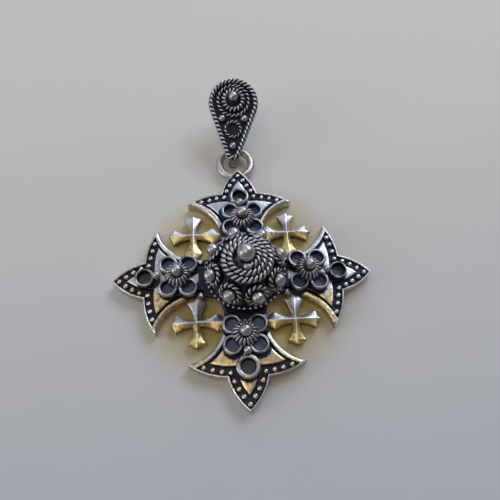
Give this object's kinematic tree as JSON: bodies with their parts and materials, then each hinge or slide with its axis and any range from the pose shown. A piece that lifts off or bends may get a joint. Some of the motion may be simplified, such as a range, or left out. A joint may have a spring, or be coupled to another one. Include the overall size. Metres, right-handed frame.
{
  "type": "jerusalem cross pendant",
  "caption": "Filigree cross pendant with flared arms, a domed centre, small crosses between the arms and a swinging teardrop bail.",
  "frame": {"origin": "middle of the cross on its flat back face, where it lies on a table", "axes": "+Y towards the hanging loop and bail, +Z out of the front, the way the dome rises"},
  "size_m": [0.038, 0.0517, 0.0111],
  "materials": {
    "cast_silver": "worn cast silver with traces of gilding, dark in the sunk borders",
    "worn_gilt": "worn gilding over silver, polished",
    "polished_silver": "polished silver",
    "aged_silver": "wire with bright crests and black recesses",
    "dark_silver": "blackened silver, rubbed bright on its rims"
  },
  "bodies": {
    "cross": {"cross_plate": "cast_silver", "hanging_loop": "polished_silver", "dome": "dark_silver", "beaded_wire": "aged_silver", "rope_coil": "aged_silver", "crown_ball": "polished_silver", "crosslet_ne": "worn_gilt", "crosslet_nw": "worn_gilt", "crosslet_sw": "worn_gilt", "crosslet_se": "worn_gilt", "cups_east": "dark_silver", "cups_north": "dark_silver", "cups_west": "dark_silver", "cups_south": "dark_silver", "rib_dome_east": "aged_silver", "rib_dome_north": "aged_silver", "rib_dome_west": "aged_silver", "rib_dome_south": "aged_silver", "flower_ball_east": "polished_silver", "flower_ball_north": "polished_silver", "flower_ball_west": "polished_silver", "flower_ball_south": "polished_silver", "tip_bead_east": "polished_silver", "tip_bead_north": "polished_silver", "tip_bead_west": "polished_silver", "tip_bead_south": "polished_silver", "tip_ring_east": "aged_silver", "tip_ring_north": "aged_silver", "tip_ring_west": "aged_silver", "tip_ring_south": "aged_silver", "petal_loop_1": "aged_silver", "petal_loop_2": "aged_silver", "petal_loop_3": "aged_silver", "petal_loop_4": "aged_silver", "petal_loop_5": "aged_silver", "petal_loop_6": "aged_silver", "petal_loop_7": "aged_silver", "petal_loop_8": "aged_silver", "petal_ball_1": "polished_silver", "petal_ball_2": "polished_silver", "petal_ball_3": "polished_silver", "petal_ball_4": "polished_silver", "petal_ball_5": "polished_silver", "petal_ball_6": "polished_silver", "petal_ball_7": "polished_silver", "petal_ball_8": "polished_silver"},
    "bail": {"bail": "dark_silver", "bail_rope_rim": "aged_silver", "bail_ring_large": "aged_silver", "bail_ring_coiled": "aged_silver", "bail_ring_small": "aged_silver", "bail_ball": "polished_silver", "bail_bead_left": "polished_silver", "bail_bead_right": "polished_silver", "bail_bead_low": "polished_silver"}
  },
  "joints": [
    {"name": "bail_swing", "type": "hinge", "parent": "cross", "child": "bail", "pos_m": [-0.00056, 0.02312, 0.00125], "axis": [1, 0, 0], "range_deg": [-95, 45]}
  ]
}
